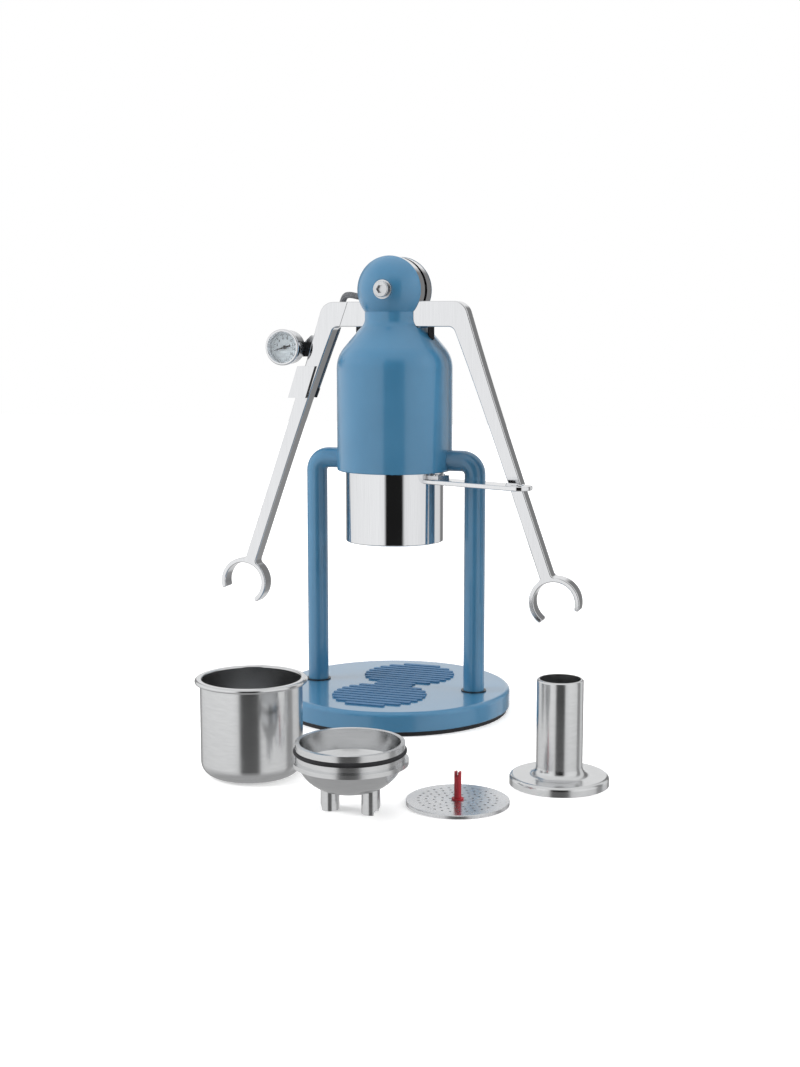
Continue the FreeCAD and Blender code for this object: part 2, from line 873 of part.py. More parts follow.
def bayonet_ring():
    """Three shelves under the portafilter's lugs, with entry gaps between them."""
    low = collar_top - lug_height - 0.3 - bayonet_height
    high = low + bayonet_height
    shelf = ring(cavity_radius - rebate, bayonet_inner, low, high)
    for i in range(lug_count):
        centre = handle_angle + 180 - collar_turn + 360 * i / lug_count
        shelf = shelf.cut(wedge(body_radius, low - 1, high + 1, centre, lug_gap_width))
    return Part.makeCompound(shelf.Solids)


def collar():
    """The bottomless portafilter: a plain polished tube with three lugs at its top."""
    tube = ring(collar_radius, collar_radius - collar_wall, collar_bottom, collar_top)
    rims = [e for e in tube.Edges if len(e.Vertexes) == 1 and abs(e.BoundBox.ZMax - collar_bottom) < 0.01]
    tube = tube.makeFillet(0.8, rims)
    lugs = ring(collar_radius + lug_reach, collar_radius - 1, collar_top - lug_height, collar_top)
    for i in range(lug_count):
        centre = handle_angle + 180 + 360 * i / lug_count
        tube = tube.fuse(lugs.common(wedge(body_radius, collar_bottom, collar_top + 1, centre, lug_width)))
    return tube.removeSplitter()


def handle():
    """A flat bar that stands out of the collar, with a hole to hang it by."""
    low = handle_height - handle_thickness / 2
    high = handle_height + handle_thickness / 2
    half = handle_width / 2
    straight = handle_length - half
    bar = block(collar_radius - 4, straight, -half, half, low, high)
    bar = bar.fuse(upright(half, low, high, straight)).removeSplitter()
    bar = bar.cut(upright(collar_radius + rebate, low - 1, high + 1))
    bar = bar.cut(upright(handle_hole_radius, low - 1, high + 1, handle_length - handle_hole_inset))
    flat = [e for e in bar.Edges if abs(e.BoundBox.ZMax - e.BoundBox.ZMin) < 0.01]
    bar = bar.makeFillet(0.6, [e for e in flat if e.BoundBox.XMax > collar_radius + 2])
    bar.rotate(V(0, 0, 0), V(0, 0, 1), handle_angle)
    return bar


def handle_bracket():
    """A small lug between the collar and the bar, on the bar's upper face."""
    low = handle_height + handle_thickness / 2
    reach = collar_radius + bracket_depth
    half = bracket_width / 2
    piece = block(collar_radius - 3, reach, -half, half, low, low + bracket_height)
    piece = piece.cut(upright(collar_radius + rebate, low - 1, low + bracket_height + 1))
    for side in (-1, 1):
        piece = piece.cut(upright(1.25, low - 1, low + bracket_height + 1, collar_radius + 5, side * 3.4))
    piece.rotate(V(0, 0, 0), V(0, 0, 1), handle_angle)
    return piece


def bracket_rivets():
    low = handle_height + handle_thickness / 2
    rivets = []
    for side in (-1, 1):
        x, y = collar_radius + 5, side * 3.4
        top = low + bracket_height
        rivet = upright(1.2, low, top, x, y)
        rivets.append(rivet.fuse(upright(2.0, top, top + 0.8, x, y)).removeSplitter())
    group = Part.makeCompound(rivets)
    group.rotate(V(0, 0, 0), V(0, 0, 1), handle_angle)
    return group


def gauge_case():
    back = gauge_front + case_depth
    start = gauge_front + bezel_height
    can = along_y(case_radius, start, back, gauge_x, gauge_z)
    rear = [e for e in can.Edges if e.BoundBox.YMin > back - 0.1]
    can = can.makeFillet(1.5, rear)
    room = along_y(case_radius - case_wall, start - 1, back - 2.5, gauge_x, gauge_z)
    return can.cut(room)


def gauge_bezel():
    back = gauge_front + bezel_height
    body = along_y(bezel_radius, gauge_front, back, gauge_x, gauge_z)
    front = [e for e in body.Edges if e.BoundBox.YMax < gauge_front + 0.1]
    body = body.makeFillet(0.9, front)
    body = body.cut(along_y(bezel_radius - bezel_lip, gauge_front - 1, back + 1, gauge_x, gauge_z))
    seat = along_y(case_radius - 0.6, gauge_front + 0.8, back + 1, gauge_x, gauge_z)
    return body.cut(seat)


def gauge_lens():
    front = gauge_front + 0.8
    return along_y(case_radius - 0.65, front, front + lens_thickness, gauge_x, gauge_z)


def gauge_dial():
    front = gauge_front + bezel_height + dial_depth
    disc = along_y(case_radius - case_wall - 0.05, front, front + dial_thickness, gauge_x, gauge_z)
    return disc.cut(along_y(0.6, front - 1, front + 2, gauge_x, gauge_z))


def gauge_needle():
    """A tapered pointer with a counterweight tail, on its small spindle."""
    front = gauge_front + bezel_height + dial_depth - 1.4
    back = front + needle_thickness
    tip = (needle_length, 0)
    tail = -needle_tail
    outline = [tip, (0, 0.65), (tail + 0.6, 0.5), (tail, 1.1), (tail, -1.1), (tail + 0.6, -0.5), (0, -0.65)]
    pointer = plate_xz(outline, front, back)
    pointer = pointer.fuse(along_y(needle_hub_radius, front - 0.4, back, 0, 0))
    pointer = pointer.fuse(along_y(0.5, front, back + 4.5, 0, 0)).removeSplitter()
    pointer.rotate(V(0, 0, 0), V(0, -1, 0), needle_angle)
    pointer.translate(V(gauge_x, 0, gauge_z))
    return pointer


def gauge_movement():
    """The sealed movement behind the dial, which carries the needle's spindle."""
    front = gauge_front + bezel_height + dial_depth + dial_thickness
    back = gauge_front + case_depth - 2.5
    can = along_y(7.0, front, back, gauge_x, gauge_z)
    return can.cut(along_y(0.55, front - 1, front + 3.2, gauge_x, gauge_z))


def gauge_connector():
    """The black block behind the gauge that joins it to the arm."""
    back = gauge_front + case_depth
    low = gauge_z - 6.5
    high = low + connector_height
    outline = [
        (-arm_edge_at(1, low)[0] - 0.02, low),
        (-arm_edge_at(1, high)[0] - 0.02, high),
        (gauge_x + 4, high),
        (gauge_x + 4, low),
    ]
    return plate_xz(outline, back, back + connector_depth)


def gauge_tab():
    """A small plate above the connector, screwed to the arm's outer side."""
    back = gauge_front + case_depth
    low = gauge_z - 6.5 + connector_height
    high = low + tab_height
    outline = [
        (-arm_edge_at(1, low)[0] - 0.02, low),
        (-arm_edge_at(1, high)[0] - 0.02, high),
        (-arm_edge_at(1, high)[0] - 3.0, high),
        (-arm_edge_at(1, low)[0] - 6.5, low),
    ]
    return plate_xz(outline, back + 1, back + connector_depth - 1)


def arm_clamp():
    """A clip over the arm's outer edge, open towards the machine, with a shorter jaw behind."""
    low = clamp_top - clamp_height
    front = half_split - clamp_wall
    back = half_split + arm_depth + clamp_wall
    clip = clamp_slab(low, clamp_top, clamp_outside, -clamp_rear_cover, half_split, back)
    clip = clip.fuse(clamp_slab(low, clamp_top, clamp_outside, -clamp_cover, front, half_split + 1))
    room = clamp_slab(low - 1, clamp_top + 1, rebate, -20, half_split - rebate, half_split + arm_depth + rebate)
    clip = clip.cut(room).removeSplitter()
    for z in clamp_screw_heights():
        x = -arm_edge_at(1, z)[0] - clamp_outside / 2
        clip = clip.cut(along_y(clamp_screw_radius + running_gap, front + 1, back + 1, x, z))
    return clip


def clamp_slab(low, high, beyond, within, front, back):
    """A plate beside the left arm's outer edge, from beyond it to within it."""
    corners = []
    for height, reach in ((low, beyond), (high, beyond), (high, within), (low, within)):
        corners.append((-arm_edge_at(1, height)[0] - reach, height))
    return plate_xz(corners, front, back)


def clamp_screw_heights():
    return (clamp_top - clamp_height * 0.25, clamp_top - clamp_height * 0.75)


def clamp_screws():
    front = half_split - clamp_wall + 1.2
    back = half_split + arm_depth + clamp_wall
    screws = []
    for z in clamp_screw_heights():
        x = -arm_edge_at(1, z)[0] - clamp_outside / 2
        screw = along_y(clamp_screw_radius, front, back, x, z)
        head = along_y(clamp_screw_radius + 0.9, back, back + 1.6, x, z)
        screws.append(screw.fuse(head).removeSplitter())
    return Part.makeCompound(screws)


def hose_points():
    """The hose's route: off the hub, over the shoulder, then down behind the arm to the clamp."""
    behind = half_split + arm_depth + hose_radius + 0.2
    over = (half_split + arm_depth) / 2 - 0.4
    foot = clamp_top - clamp_height + ferrule_length

    def inner(height):
        return -arm_edge_at(-1, height)[0] - hose_inset

    points = [
        (-hub_radius - fitting_length, over, hose_height),
        (-hub_radius - fitting_length - 10.7, over + 1.0, hose_height + 2.2),
        (inner(shoulder_bottom) + 2.6, behind + 1.8, hose_height - 2.1),
        (inner(shoulder_bottom) + 0.4, behind + 0.9, shoulder_bottom + 1.5),
        (inner(shoulder_bottom - 12.5), behind, shoulder_bottom - 12.5),
        (inner(foot), behind, foot),
    ]
    return [V(*p) for p in points]


def rounded_path(points):
    """Straight runs joined by tangent arcs, each as large as its two runs allow."""
    edges = []
    radii = []
    start = points[0]
    for before, corner, after in zip(points, points[1:], points[2:]):
        u = (before - corner).normalize()
        w = (after - corner).normalize()
        turn = math.pi - u.getAngle(w)
        run = min((before - corner).Length, (after - corner).Length)
        cut = 0.45 * run
        radius = cut / math.tan(turn / 2)
        a = corner + u * cut
        b = corner + w * cut
        inward = (u + w).normalize()
        middle = corner + inward * (radius / math.cos(turn / 2) - radius)
        edges.append(Part.LineSegment(start, a).toShape())
        edges.append(Part.Arc(a, middle, b).toShape())
        radii.append(round(radius, 1))
        start = b
    edges.append(Part.LineSegment(start, points[-1]).toShape())
    return Part.Wire(edges), radii


def hose():
    points = hose_points()
    path, radii = rounded_path(points)
    section = Part.Wire(Part.makeCircle(hose_radius, points[0], points[1] - points[0]))
    tube = path.makePipeShell([section], True, False)
    ideal = math.pi * hose_radius**2 * path.Length
    print("hose length", round(path.Length, 1), "radii", radii, "volume share", round(tube.Volume / ideal, 4))
    return tube


def hose_fitting():
    """The nipple on the left hub's rim that the hose starts from."""
    start, second = hose_points()[:2]
    inward = (start - second).normalize()
    nipple = Part.makeCylinder(fitting_radius, fitting_length + 1, start, inward)
    nut = Part.makeCylinder(fitting_radius + 0.35, fitting_length, start + inward * 1.4, inward)
    body = nipple.fuse(nut)
    body = body.cut(along_y(hub_radius + rebate, 0, slot_half + 2, 0, pivot_height))
    reach = hub_radius + fitting_length + 1
    return body.cut(block(-reach, 0, 0, slot_half + 2, shoulder_bottom, shoulder_top + rebate)).removeSplitter()


def hose_ferrule():
    """The crimped end that closes the hose behind the arm."""
    points = hose_points()
    heading = (points[-1] - points[-2]).normalize()
    tip = Part.makeCylinder(hose_radius + 0.2, ferrule_length, points[-1], heading)
    return tip.makeFillet(0.5, [e for e in tip.Edges if len(e.Vertexes) == 1])


def rolled_profile(points):
    return [line(a, b) for a, b in zip(points, points[1:] + points[:1])]


def filter_basket():
    """A deep steel cup with a rolled rim, a rounded foot and a drilled floor."""
    r, h, t, c = basket_radius, basket_height, basket_wall, basket_corner
    bend = c * (1 - math.sqrt(0.5))
    edges = [
        line((0, 0), (r - c, 0)),
        arc((r - c, 0), (r - bend, bend), (r, c)),
        line((r, c), (r, h - basket_rim_height)),
        line((r, h - basket_rim_height), (basket_rim_radius, h - basket_rim_height)),
        arc(
            (basket_rim_radius, h - basket_rim_height),
            (basket_rim_radius + 0.35, h - basket_rim_height / 2),
            (basket_rim_radius - 0.7, h),
        ),
        line((basket_rim_radius - 0.7, h), (r - t + 0.9, h)),
        arc((r - t + 0.9, h), (r - t + 0.26, h - 0.26), (r - t, h - 0.9)),
        line((r - t, h - 0.9), (r - t, c)),
        arc((r - t, c), (r - bend - t * 0.707, bend + t * 0.707), (r - c, t)),
        line((r - c, t), (0, t)),
        line((0, t), (0, 0)),
    ]
    cup = turned(edges)
    cup = drilled(cup, basket_hole_radius, basket_hole_pitch, basket_hole_rings, 1)
    return cup.translated(V(basket_x, basket_y, 0))


def drilled(solid, radius, pitch, rings, high):
    """Rings of small holes through a floor, six more in each ring."""
    holes = [upright(radius, -1, high + 1)] if radius < 0.65 else []
    for i in range(1, rings + 1):
        for k in range(6 * i):
            x, y = polar(i * pitch, 360 * k / (6 * i))
            holes.append(upright(radius, -1, high + 1, x, y))
    return solid.cut(Part.makeCompound(holes))


def spout_bowl():
    """A shallow bowl that plugs into the collar, with two small spouts below."""
    top = bowl_height
    r, t = bowl_ring_radius, bowl_ring_wall
    flange_top = top - bowl_ring_height
    flange_low = flange_top - bowl_flange_thickness
    waist = r - 1.2
    bottom = bowl_floor
    edges = [
        line((0, bottom), (9, bottom)),
        arc((9, bottom), (waist - 6.4, bottom + 5.6), (waist, flange_low)),
        line((waist, flange_low), (bowl_flange_radius, flange_low)),
        line((bowl_flange_radius, flange_low), (bowl_flange_radius, flange_top)),
        line((bowl_flange_radius, flange_top), (r, flange_top)),
        line((r, flange_top), (r, top)),
        line((r, top), (r - t, top)),
        line((r - t, top), (r - t, flange_low)),
        arc((r - t, flange_low), (waist - 8.0, bottom + 7.2), (9, bottom + 1.8)),
        line((9, bottom + 1.8), (0, bottom + 1.8)),
        line((0, bottom + 1.8), (0, bottom)),
    ]
    bowl = turned(edges)
    groove_low = flange_top + 3.4
    bowl = bowl.cut(ring(r + 1, r - seal_wire, groove_low, groove_low + 2 * seal_wire))
    for side in (-1, 1):
        x = side * spout_spread
        tube = upright(spout_radius, 0, bottom + 2.6, x)
        bowl = bowl.fuse(tube)
    for side in (-1, 1):
        x = side * spout_spread
        bowl = bowl.cut(upright(spout_radius - spout_wall, -1, bottom + 6, x))
        mouth = Part.makeCylinder(spout_radius - spout_wall, 20, V(x, 0, 1.5), V(side, 0, -0.35))
        bowl = bowl.cut(mouth)
    return bowl.removeSplitter().translated(V(bowl_x, bowl_y, 0))


def bowl_seal():
    low = bowl_height - bowl_ring_height + 3.4
    centre = low + seal_wire
    wire = Part.makeTorus(bowl_ring_radius - 0.2, seal_wire - 0.1, V(bowl_x, bowl_y, centre))
    core = ring(bowl_ring_radius + 4, bowl_ring_radius - seal_wire + 0.02, low - 1, low + 4, bowl_x, bowl_y)
    return wire.common(core)


def screen():
    disc = upright(screen_radius, 0, screen_thickness)
    disc = disc.makeFillet(0.4, [e for e in disc.Edges if abs(e.BoundBox.ZMin - screen_thickness) < 0.01])
    disc = disc.cut(upright(stem_radius + 0.05, -1, screen_thickness + 1))
    disc = drilled(disc, screen_hole_radius, screen_hole_pitch, screen_hole_rings, screen_thickness)
    return disc.translated(V(screen_x, screen_y, 0))


def screen_stem():
    """The soft red pull that lifts the screen: a stem with a notched top, held by a collar."""
    top = screen_thickness + stem_height
    stem = upright(stem_radius, 0.2, top)
    stem = stem.fuse(upright(stem_collar_radius, screen_thickness, screen_thickness + 0.8))
    stem = stem.removeSplitter()
    stem = stem.cut(block(-stem_notch / 2, stem_notch / 2, -5, 5, top - 2.6, top + 1))
    return stem.translated(V(screen_x, screen_y, 0))


def tamper():
    """A flat stainless disc with a flared foot that carries an open tube to hold it by."""
    r, t = tamper_radius, tamper_thickness
    flare = tamper_flare
    soft = flare * (1 - math.sqrt(0.5))
    edges = [
        line((0, 0), (r, 0)),
        line((r, 0), (r, t - tamper_round)),
        arc((r, t - tamper_round), (r - 0.65, t - 0.65), (r - tamper_round, t)),
        line((r - tamper_round, t), (tube_radius + flare, t)),
        arc((tube_radius + flare, t), (tube_radius + soft, t + soft), (tube_radius, t + flare)),
        line((tube_radius, t + flare), (tube_radius, tamper_height - 1)),
        arc(
            (tube_radius, tamper_height - 1),
            (tube_radius - 0.3, tamper_height - 0.3),
            (tube_radius - 0.8, tamper_height),
        ),
        line((tube_radius - 0.8, tamper_height), (tube_radius - tube_wall, tamper_height)),
        line((tube_radius - tube_wall, tamper_height), (tube_radius - tube_wall, t)),
        line((tube_radius - tube_wall, t), (0, t)),
        line((0, t), (0, 0)),
    ]
    return turned(edges, tamper_x, tamper_y)


def main():
    save("base_plate", base_plate())
    save("base_pad", upright(base_radius - pad_inset, 0, pad_thickness))
    save("front_cup_ribs", cup_ribs(-1))
    save("rear_cup_ribs", cup_ribs(1))
    save("left_leg", leg(-1))
    save("right_leg", leg(1))
    save("leg_screws", leg_screws())
    save("foot_rings", foot_rings())
    save("body_shell", body_shell())
    save("arm_stops", arm_stops())
    right = arm()
    save("right_arm", right)
    save("left_arm", arm_seam(mirrored(right)))
    save("right_hub_bush", hub_bush())
    save("left_hub_bush", mirrored(hub_bush()))
    save("pivot_bolt", pivot_bolt())
    save("pivot_nut", pivot_nut())
    save("pivot_washers", pivot_washers())
    save("hub_spacer", hub_spacer())
    save("crosshead", crosshead())
    save("crosshead_block", crosshead_block())
    save("crosshead_pins", crosshead_pins())
    save("piston_rod", piston_rod())
    save("piston", piston())
    save("piston_seal", piston_seal())
    save("piston_screw", piston_screw())
    save("guide_plate", guide_plate())
    save("guide_bush", guide_bush())
    save("group_ring", group_ring())
    save("group_seal", group_seal())
    save("group_bolts", group_bolts())
    save("bayonet_ring", bayonet_ring())
    save("portafilter_collar", collar())
    save("portafilter_handle", handle())
    save("handle_bracket", handle_bracket())
    save("bracket_rivets", bracket_rivets())
    save("gauge_case", gauge_case())
    save("gauge_bezel", gauge_bezel())
    save("gauge_lens", gauge_lens())
    save("gauge_dial", gauge_dial())
    save("gauge_needle", gauge_needle())
    save("gauge_movement", gauge_movement())
    save("gauge_connector", gauge_connector())
    save("gauge_tab", gauge_tab())
    save("arm_clamp", arm_clamp())
    save("clamp_screws", clamp_screws())
    save("pressure_hose", hose())
    save("hose_fitting", hose_fitting())
    save("hose_ferrule", hose_ferrule())
    save("filter_basket", filter_basket())
    save("spout_bowl", spout_bowl())
    save("bowl_seal", bowl_seal())
    save("dispersion_screen", screen())
    save("screen_stem", screen_stem())
    save("tamper", tamper())


main()
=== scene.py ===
import json
import math

import bmesh
import bpy
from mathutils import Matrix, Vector


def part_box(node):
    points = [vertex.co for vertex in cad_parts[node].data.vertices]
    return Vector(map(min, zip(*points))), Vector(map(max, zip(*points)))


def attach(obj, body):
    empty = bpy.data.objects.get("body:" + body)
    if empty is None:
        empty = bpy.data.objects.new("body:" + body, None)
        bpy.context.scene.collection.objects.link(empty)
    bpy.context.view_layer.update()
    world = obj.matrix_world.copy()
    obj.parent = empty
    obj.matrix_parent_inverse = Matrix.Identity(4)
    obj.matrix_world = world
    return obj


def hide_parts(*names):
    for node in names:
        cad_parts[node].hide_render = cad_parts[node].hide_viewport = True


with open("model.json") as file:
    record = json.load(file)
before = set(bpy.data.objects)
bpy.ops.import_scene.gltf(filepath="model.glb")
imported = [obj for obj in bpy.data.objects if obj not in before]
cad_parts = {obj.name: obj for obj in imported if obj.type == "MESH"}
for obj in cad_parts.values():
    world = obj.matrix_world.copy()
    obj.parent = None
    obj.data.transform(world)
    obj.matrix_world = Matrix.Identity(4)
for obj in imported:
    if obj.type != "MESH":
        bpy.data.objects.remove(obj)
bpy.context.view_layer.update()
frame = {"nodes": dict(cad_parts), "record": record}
print("frame loaded:", len(frame["nodes"]), "CAD nodes")

mm = 0.001  # the sizes below are in millimetres, the scene is in metres


# node helpers
def srgb(red, green, blue):
    def linear(value):
        value /= 255
        return value / 12.92 if value <= 0.04045 else ((value + 0.055) / 1.055) ** 2.4
    return (linear(red), linear(green), linear(blue), 1)


def startMaterial(name):
    material = bpy.data.materials.new(name)
    material.use_nodes = True
    tree = material.node_tree
    shader = tree.nodes["Principled BSDF"]
    place = tree.nodes.new("ShaderNodeTexCoord")
    return material, tree, shader, place.outputs["Object"]


def addNoise(tree, place, scale, detail=4, stretch=(1, 1, 1)):
    mapping = tree.nodes.new("ShaderNodeMapping")
    mapping.inputs["Scale"].default_value = stretch
    noise = tree.nodes.new("ShaderNodeTexNoise")
    noise.inputs["Scale"].default_value = scale
    noise.inputs["Detail"].default_value = detail
    tree.links.new(place, mapping.inputs["Vector"])
    tree.links.new(mapping.outputs["Vector"], noise.inputs["Vector"])
    return noise.outputs["Fac"]


def addRange(tree, value, low, high, fromLow=0.3, fromHigh=0.7):
    node = tree.nodes.new("ShaderNodeMapRange")
    node.inputs["From Min"].default_value = fromLow
    node.inputs["From Max"].default_value = fromHigh
    node.inputs["To Min"].default_value = low
    node.inputs["To Max"].default_value = high
    tree.links.new(value, node.inputs["Value"])
    return node.outputs["Result"]


def addTint(tree, value, first, second):
    ramp = tree.nodes.new("ShaderNodeValToRGB")
    ramp.color_ramp.elements[0].position = 0.3
    ramp.color_ramp.elements[0].color = first
    ramp.color_ramp.elements[1].position = 0.7
    ramp.color_ramp.elements[1].color = second
    tree.links.new(value, ramp.inputs["Fac"])
    return ramp.outputs["Color"]


def addBump(tree, shader, value, strength, distance):
    bump = tree.nodes.new("ShaderNodeBump")
    bump.inputs["Strength"].default_value = strength
    bump.inputs["Distance"].default_value = distance
    tree.links.new(value, bump.inputs["Height"])
    tree.links.new(bump.outputs["Normal"], shader.inputs["Normal"])


# finishes
bluePaint = {
    "shade": srgb(53, 112, 148), "lightShade": srgb(59, 118, 154), "cloudScale": 26,
    "orangePeelScale": 900, "peelStrength": 0.12, "peelDepth": 0.00002,
    "roughLow": 0.30, "roughHigh": 0.38, "clearCoat": 1.0, "coatRoughness": 0.09,
}


def powderBlue():
    look = bluePaint
    material, tree, shader, place = startMaterial("powderBluePaint")
    broad = addNoise(tree, place, look["cloudScale"], 3)
    fine = addNoise(tree, place, look["orangePeelScale"], 3)
    tree.links.new(addTint(tree, broad, look["shade"], look["lightShade"]), shader.inputs["Base Color"])
    tree.links.new(addRange(tree, broad, look["roughLow"], look["roughHigh"]), shader.inputs["Roughness"])
    shader.inputs["Coat Weight"].default_value = look["clearCoat"]
    shader.inputs["Coat Roughness"].default_value = look["coatRoughness"]
    addBump(tree, shader, fine, look["peelStrength"], look["peelDepth"])
    return material


metalDetail = {"smudgeScale": 45, "grainDepth": 0.00002}
metalFinishes = {
    "polished_steel": {
        "dark": srgb(230, 231, 233), "light": srgb(235, 236, 238), "roughLow": 0.04, "roughHigh": 0.085,
        "grain": 1400, "stretch": (1, 1, 0.03), "bump": 0.008,
    },
    "satin_steel": {
        "dark": srgb(218, 219, 221), "light": srgb(228, 229, 231), "roughLow": 0.2, "roughHigh": 0.32,
        "grain": 1600, "stretch": (1, 1, 0.05), "bump": 0.02,
    },
    "spun_steel": {
        "dark": srgb(218, 219, 220), "light": srgb(224, 225, 226), "roughLow": 0.15, "roughHigh": 0.24,
        "grain": 900, "stretch": (0.15, 0.15, 1), "bump": 0.005,
    },
    "dark_steel": {
        "dark": srgb(58, 59, 62), "light": srgb(84, 85, 88), "roughLow": 0.28, "roughHigh": 0.42,
        "grain": 1500, "stretch": (1, 1, 1), "bump": 0.05,
    },
    "bronze": {
        "dark": srgb(150, 106, 58), "light": srgb(184, 138, 84), "roughLow": 0.28, "roughHigh": 0.4,
        "grain": 900, "stretch": (1, 1, 1), "bump": 0.05,
    },
    "steel_braid": {
        "dark": srgb(104, 106, 110), "light": srgb(178, 180, 184), "roughLow": 0.25, "roughHigh": 0.4,
        "grain": 2400, "stretch": (1, 1, 1), "bump": 0.1,
    },
}


def metalFinish(name):
    look = metalFinishes[name]
    material, tree, shader, place = startMaterial(name)
    grain = addNoise(tree, place, look["grain"], 3, look["stretch"])
    smudge = addNoise(tree, place, metalDetail["smudgeScale"], 4)
    tree.links.new(addTint(tree, grain, look["dark"], look["light"]), shader.inputs["Base Color"])
    tree.links.new(addRange(tree, smudge, look["roughLow"], look["roughHigh"]), shader.inputs["Roughness"])
    shader.inputs["Metallic"].default_value = 1
    addBump(tree, shader, grain, look["bump"], metalDetail["grainDepth"])
    return material


softDetail = {"cloudScale": 60, "grainDepth": 0.00003}
softFinishes = {
    "black_rubber": {
        "dark": srgb(17, 17, 20), "light": srgb(30, 30, 34), "roughLow": 0.5, "roughHigh": 0.7,
        "grain": 1300, "bump": 0.25,
    },
    "red_silicone": {
        "dark": srgb(148, 22, 36), "light": srgb(176, 32, 48), "roughLow": 0.35, "roughHigh": 0.5,
        "grain": 800, "bump": 0.12,
    },
    "black_plastic": {
        "dark": srgb(20, 20, 23), "light": srgb(34, 34, 38), "roughLow": 0.3, "roughHigh": 0.42,
        "grain": 1000, "bump": 0.12,
    },
    "dial_white": {
        "dark": srgb(240, 245, 248), "light": srgb(246, 250, 252), "roughLow": 0.4, "roughHigh": 0.5,
        "grain": 300, "bump": 0.03,
    },
    "needle_black": {
        "dark": srgb(14, 14, 16), "light": srgb(24, 24, 27), "roughLow": 0.3, "roughHigh": 0.4,
        "grain": 900, "bump": 0.05,
    },
    "rib_paint": {
        "dark": srgb(60, 104, 142), "light": srgb(66, 110, 148), "roughLow": 0.5, "roughHigh": 0.6,
        "grain": 1100, "bump": 0.15,
    },
}


def softFinish(name):
    look = softFinishes[name]
    material, tree, shader, place = startMaterial(name)
    grain = addNoise(tree, place, look["grain"], 4)
    broad = addNoise(tree, place, softDetail["cloudScale"], 3)
    tree.links.new(addTint(tree, broad, look["dark"], look["light"]), shader.inputs["Base Color"])
    tree.links.new(addRange(tree, grain, look["roughLow"], look["roughHigh"]), shader.inputs["Roughness"])
    addBump(tree, shader, grain, look["bump"], softDetail["grainDepth"])
    return material


glassLook = {
    "bend": 1.45, "dustScale": 500, "shade": srgb(244, 249, 252), "lightShade": srgb(252, 254, 255),
    "roughLow": 0.01, "roughHigh": 0.05,
}


def lensGlass():
    look = glassLook
    material, tree, shader, place = startMaterial("gaugeGlass")
    shader.inputs["Transmission Weight"].default_value = 1
    shader.inputs["IOR"].default_value = look["bend"]
    dust = addNoise(tree, place, look["dustScale"], 3)
    tree.links.new(addTint(tree, dust, look["shade"], look["lightShade"]), shader.inputs["Base Color"])
    tree.links.new(addRange(tree, dust, look["roughLow"], look["roughHigh"]), shader.inputs["Roughness"])
    return material


finishes = {"body_paint": powderBlue(), "lens_glass": lensGlass()}
for name in metalFinishes:
    finishes[name] = metalFinish(name)
for name in softFinishes:
    finishes[name] = softFinish(name)
print("finishes made:", len(finishes))


# CAD nodes
ownFinishes = {  # nodes that look a little unlike the rest of their material
    "front_cup_ribs": "rib_paint", "rear_cup_ribs": "rib_paint",
    "filter_basket": "spun_steel", "spout_bowl": "spun_steel", "tamper": "spun_steel",
}


def dressNodes():
    for part in frame["record"]["subparts"]:
        node = frame["nodes"][part["node"]]
        node.data.materials.clear()
        node.data.materials.append(finishes[ownFinishes.get(part["node"], part["material_slot"])])


dressNodes()
print("CAD nodes dressed")


# pieces made here, all of them on the left arm
def addPiece(name, data, finish, place=(0, 0, 0), turn=(0, 0, 0)):
    piece = bpy.data.objects.new(name, data)
    piece.location = place
    piece.rotation_euler = turn
    bpy.context.scene.collection.objects.link(piece)
    piece.data.materials.append(finishes[finish])
    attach(piece, "left_lever")
    return piece


def addCurve(name, thickness, smoothness):
    curve = bpy.data.curves.new(name, "CURVE")
    curve.dimensions = "3D"
    curve.bevel_depth = thickness
    curve.bevel_resolution = smoothness
    return curve


def addLine(curve, places):
    spline = curve.splines.new("POLY")
    spline.points.add(len(places) - 1)
    for point, place in zip(spline.points, places):
        point.co = (*place, 1)


# braided hose
hoseLook = {
    "route": [
        (-26.3, 5.35, 283.6), (-37.0, 6.35, 285.8), (-43.73, 15.75, 281.5),
        (-45.93, 14.85, 265.0), (-51.26, 13.95, 251.0), (-62.54, 13.95, 221.5),
    ],
    "radius": 2.25, "bend": 0.45, "strands": 10, "pitch": 13.0, "wire": 0.34, "weave": 0.16,
    "coreOverlap": 0.1, "step": 0.45,
}


def routeSamples(points, share, step):
    # straight runs joined by tangent arcs, as the CAD hose has them, sampled evenly
    samples = []
    start = points[0]

    def straight(a, b):
        count = max(1, round((b - a).length / step))
        samples.extend(a.lerp(b, i / count) for i in range(count))

    for before, corner, after in zip(points, points[1:], points[2:]):
        toBefore = (before - corner).normalized()
        toAfter = (after - corner).normalized()
        turn = math.pi - toBefore.angle(toAfter)
        cut = share * min((before - corner).length, (after - corner).length)
        radius = cut / math.tan(turn / 2)
        arcStart = corner + toBefore * cut
        straight(start, arcStart)
        inward = (toBefore + toAfter).normalized()
        centre = corner + inward * (radius / math.cos(turn / 2))
        spokeA = arcStart - centre
        spokeB = corner + toAfter * cut - centre
        count = max(2, round(radius * turn / step))
        for i in range(count):
            t = i / count
            shareA = math.sin((1 - t) * turn) / math.sin(turn)
            shareB = math.sin(t * turn) / math.sin(turn)
            samples.append(centre + spokeA * shareA + spokeB * shareB)
        start = corner + toAfter * cut
    straight(start, points[-1])
    samples.append(points[-1])
    return samples


